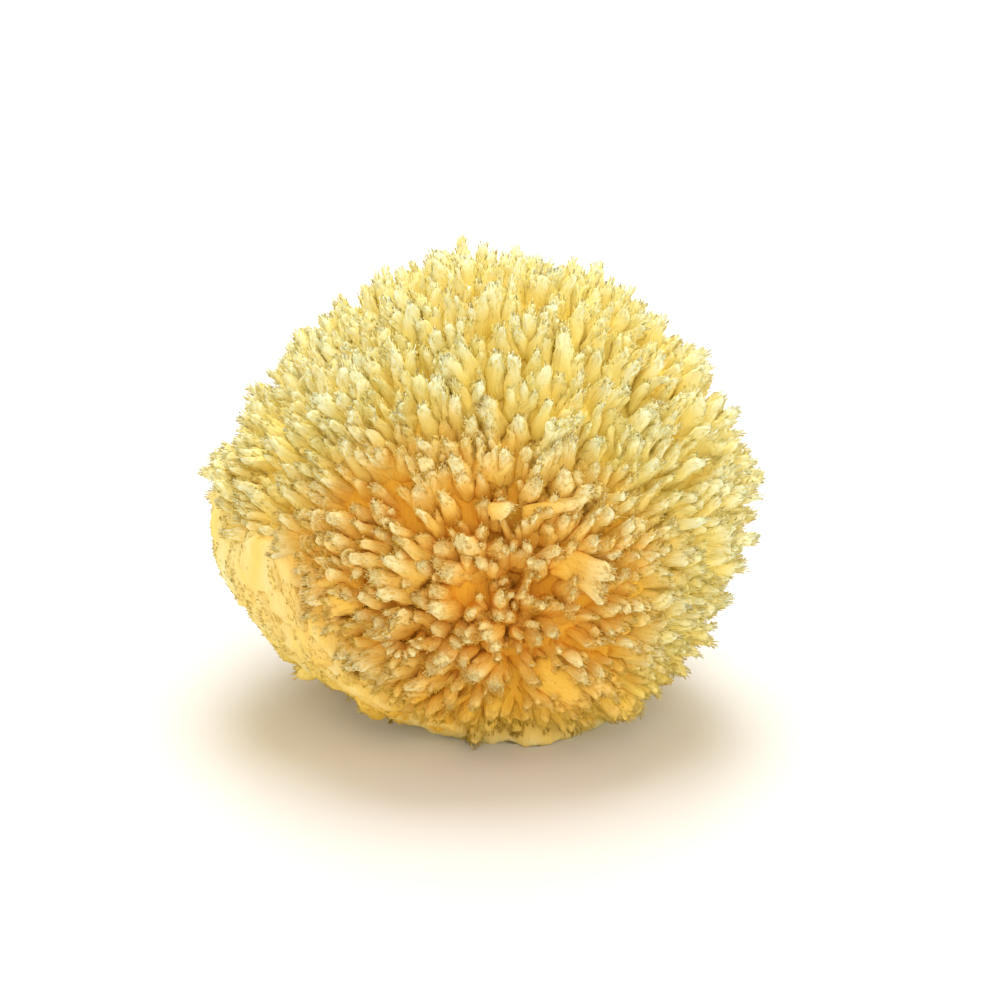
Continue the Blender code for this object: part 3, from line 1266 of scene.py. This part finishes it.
def fibre_spikes(seats, shape, rng):
    """Each fibre as a closed three-sided spike: points (fibre, corner, xyz), normals, tipness and tint."""
    count = len(seats.points)
    way = units(seats.along + seats.normals * OUTWARDS + rng.normal(0, WAY_CHANCE, (count, 3)))
    usual = shape.fibre_length * (LEAST_LENGTH + (1 - LEAST_LENGTH) * seats.fringe)
    length = usual * rng.uniform(*LENGTHS, count)
    first = units(np.cross(way, rng.normal(0, 1, (count, 3))))
    second = np.cross(way, first)
    ends = seats.points + way * length[:, None]
    feet = seats.points - way * FOOT_DEPTH
    blunt = (rng.random(count) < BLUNT_SHARE)[:, None]
    ring, point = np.where(blunt, ends, feet), np.where(blunt, feet, ends)
    points = np.empty((count, 4, 3))
    normals = np.repeat((seats.along + seats.normals)[:, None], 4, 1)
    for corner in range(3):
        angle = corner * math.tau / 3 * np.where(blunt, -1, 1)
        outwards = first * np.cos(angle) + second * np.sin(angle)
        points[:, corner] = ring + outwards * shape.fibre_width / 2 * np.where(blunt, BLUNT_WIDTH, 1.0)
        normals[:, corner] += outwards * ROUNDNESS
    points[:, 3] = point
    points[:, :, 2] = np.maximum(points[:, :, 2], LOWEST_FIBRE)
    # Painted shade: each fibre's foot is darker than its end.
    shades = np.where(blunt, [[END_SHADE] * 3 + [FOOT_SHADE]], [[FOOT_SHADE] * 3 + [END_SHADE]])
    lit = (seats.normals * units(seats.points - np.array(MIDDLE) + LIFT)).sum(1)
    shaded = SHADED_SIDE * (1 - np.clip(lit, 0, 1))
    tipness = np.clip((seats.tipness - shaded)[:, None] + shades, 0, 1)
    return points, units(normals), tipness, np.repeat(seats.tint[:, None], 4, 1)


SPIKE_FACES = np.array([(0, 2, 1), (0, 1, 3), (1, 2, 3), (2, 0, 3)])


class SPONGE_OT_fibres(bpy.types.Operator):
    """Grows the fuzz of spongin fibres out of the tufts"""

    bl_idname = "sponge.fibres"
    bl_label = "Fibres"

    def execute(self, context):
        shape = context.scene.sponge_shape
        rng = np.random.default_rng(SEED)
        tufts = [bpy.data.objects[name].data for name in FUZZ]
        areas = [sum(p.area for p in mesh.polygons) * share for mesh, share in zip(tufts, FUZZ.values())]
        share = shape.fibres / sum(areas)
        parts = [
            fibre_spikes(choose_seats(mesh, int(area * share), rng), shape, rng)
            for mesh, area in zip(tufts, areas)
        ]
        points, normals, tipness, tint = (np.concatenate(column) for column in zip(*parts))
        material = spongin_material("fine_spongin_fibres", context.scene.sponge_colours, 0.0)
        left = np.ones(len(points), bool)
        for name, inside in REGIONS:
            chosen = left & inside(points[:, 3])
            left &= ~chosen
            add_fibre_piece(name, points[chosen], normals[chosen], tipness[chosen], tint[chosen], material)
        return {"FINISHED"}


def add_fibre_piece(name, points, normals, tipness, tint, material):
    """Joins one region's fibres in one object."""
    faces = (SPIKE_FACES[None] + (np.arange(len(points)) * 4)[:, None, None]).reshape(-1, 3)
    turn = np.tile(np.arange(4) * math.tau / 3, len(points))
    values = {"tipness": tipness.ravel(), "tint": tint.ravel()}
    places = bake_places(tipness.ravel(), tint.ravel(), turn)
    add_piece(name, points, faces, values, places, material, normals)


# Stage


# The point of the sponge that stands at the middle of the picture.
AIM = Vector((-0.0049, -0.0004, 0.0543))
SENSOR = 36.0
# The surround and the softboxes add up to white on the paper, and what the softboxes don't reach is warm.
SURROUND_COLOUR = linear("#ffe6c0")
SOFTBOX_COLOUR = linear("#eef7ff")
# The softboxes: (name, place, diameter, the setting that holds its power).
SOFTBOXES = (
    ("top_softbox", (0, 0.3, 1.3), 0.9, "top_light"),
    ("front_softbox", (0.05, -1.3, 0.62), 0.9, "front_light"),
    ("back_softbox", (0, 1.6, 1.7), 1.2, "back_light"),
    ("left_softbox", (-1.4, -0.2, 0.5), 0.9, "side_light"),
    ("right_softbox", (1.0, -0.4, 0.5), 0.9, "side_light"),
)
FLOOR_SIZE = 8


class SPONGE_OT_stage(bpy.types.Operator):
    """Sets a pale paper floor, soft studio light and the camera"""

    bl_idname = "sponge.stage"
    bl_label = "Stage"

    def execute(self, context):
        stage = context.scene.sponge_stage
        deselect_all()
        bpy.ops.mesh.primitive_plane_add(size=FLOOR_SIZE)
        floor = context.object
        floor.name = "paper_floor"
        floor.data.materials.append(paper_material(stage))
        light_stage(stage)
        place_camera(stage)
        context.scene.view_settings.view_transform = "Standard"
        return {"FINISHED"}


def paper_material(stage):
    """Matt background paper, pale grey, which the light on it makes white. It shows no gloss or grain."""
    material = bpy.data.materials.new("matt_background_paper")
    material.use_nodes = True
    shader = material.node_tree.nodes["Principled BSDF"]
    shader.inputs["Base Color"].default_value = stage.floor
    shader.inputs["Roughness"].default_value = 1.0
    shader.inputs["Specular IOR Level"].default_value = 0.0
    return material


def light_stage(stage):
    """A warm white surround, and large cool softboxes over the sponge and on all four sides of it."""
    world = bpy.data.worlds.new("white_surround")
    world.use_nodes = True
    world.node_tree.nodes["Background"].inputs["Color"].default_value = SURROUND_COLOUR
    world.node_tree.nodes["Background"].inputs["Strength"].default_value = stage.sky
    bpy.context.scene.world = world
    for name, place, size, setting in SOFTBOXES:
        add_softbox(name, Vector(place), size, getattr(stage, setting))


def add_softbox(name, place, size, power):
    """A round area light that faces the sponge."""
    facing = (MIDDLE - place).to_track_quat("-Z", "Y").to_euler()
    bpy.ops.object.light_add(type="AREA", location=place, rotation=facing)
    softbox = bpy.context.object
    softbox.name = name
    softbox.data.shape = "DISK"
    softbox.data.size = size
    softbox.data.energy = power
    softbox.data.color = SOFTBOX_COLOUR[:3]


def place_camera(stage):
    """The camera in front of the sponge, looking down on it."""
    back = Vector((0, -math.cos(stage.elevation), math.sin(stage.elevation)))
    bpy.ops.object.camera_add(
        location=AIM + back * stage.distance, rotation=(math.pi / 2 - stage.elevation, 0, 0)
    )
    camera = bpy.context.object
    camera.data.sensor_width = SENSOR
    camera.data.lens = SENSOR * stage.distance / stage.view_width
    bpy.context.scene.camera = camera


# The add-on


class SPONGE_PT_build(bpy.types.Panel):
    """Buttons for the sponge's pieces and the settings that shape them"""

    bl_label = "Sea sponge"
    bl_idname = "SPONGE_PT_build"
    bl_space_type = "VIEW_3D"
    bl_region_type = "UI"
    bl_category = "Sponge"

    def draw(self, context):
        for operator in OPERATORS:
            self.layout.operator(operator.bl_idname)
        for name in SETTINGS:
            settings = getattr(context.scene, name)
            for key in settings.bl_rna.properties.keys():
                if key not in ("rna_type", "name"):
                    self.layout.prop(settings, key)


OPERATORS = (SPONGE_OT_flesh, SPONGE_OT_tufts, SPONGE_OT_fibres, SPONGE_OT_stage)
SETTINGS = {
    "sponge_shape": SpongeShape,
    "sponge_colours": SpongeColours,
    "sponge_stage": SpongeStage,
}


def register():
    for cls in (*SETTINGS.values(), *OPERATORS, SPONGE_PT_build):
        bpy.utils.register_class(cls)
    for name, group in SETTINGS.items():
        setattr(bpy.types.Scene, name, PointerProperty(type=group))


def unregister():
    for name in SETTINGS:
        delattr(bpy.types.Scene, name)
    for cls in reversed((*SETTINGS.values(), *OPERATORS, SPONGE_PT_build)):
        bpy.utils.unregister_class(cls)


def main():
    register()
    bpy.ops.sponge.stage()
    bpy.ops.sponge.flesh()
    bpy.ops.sponge.tufts()
    bpy.ops.sponge.fibres()


if __name__ == "__main__":
    main()
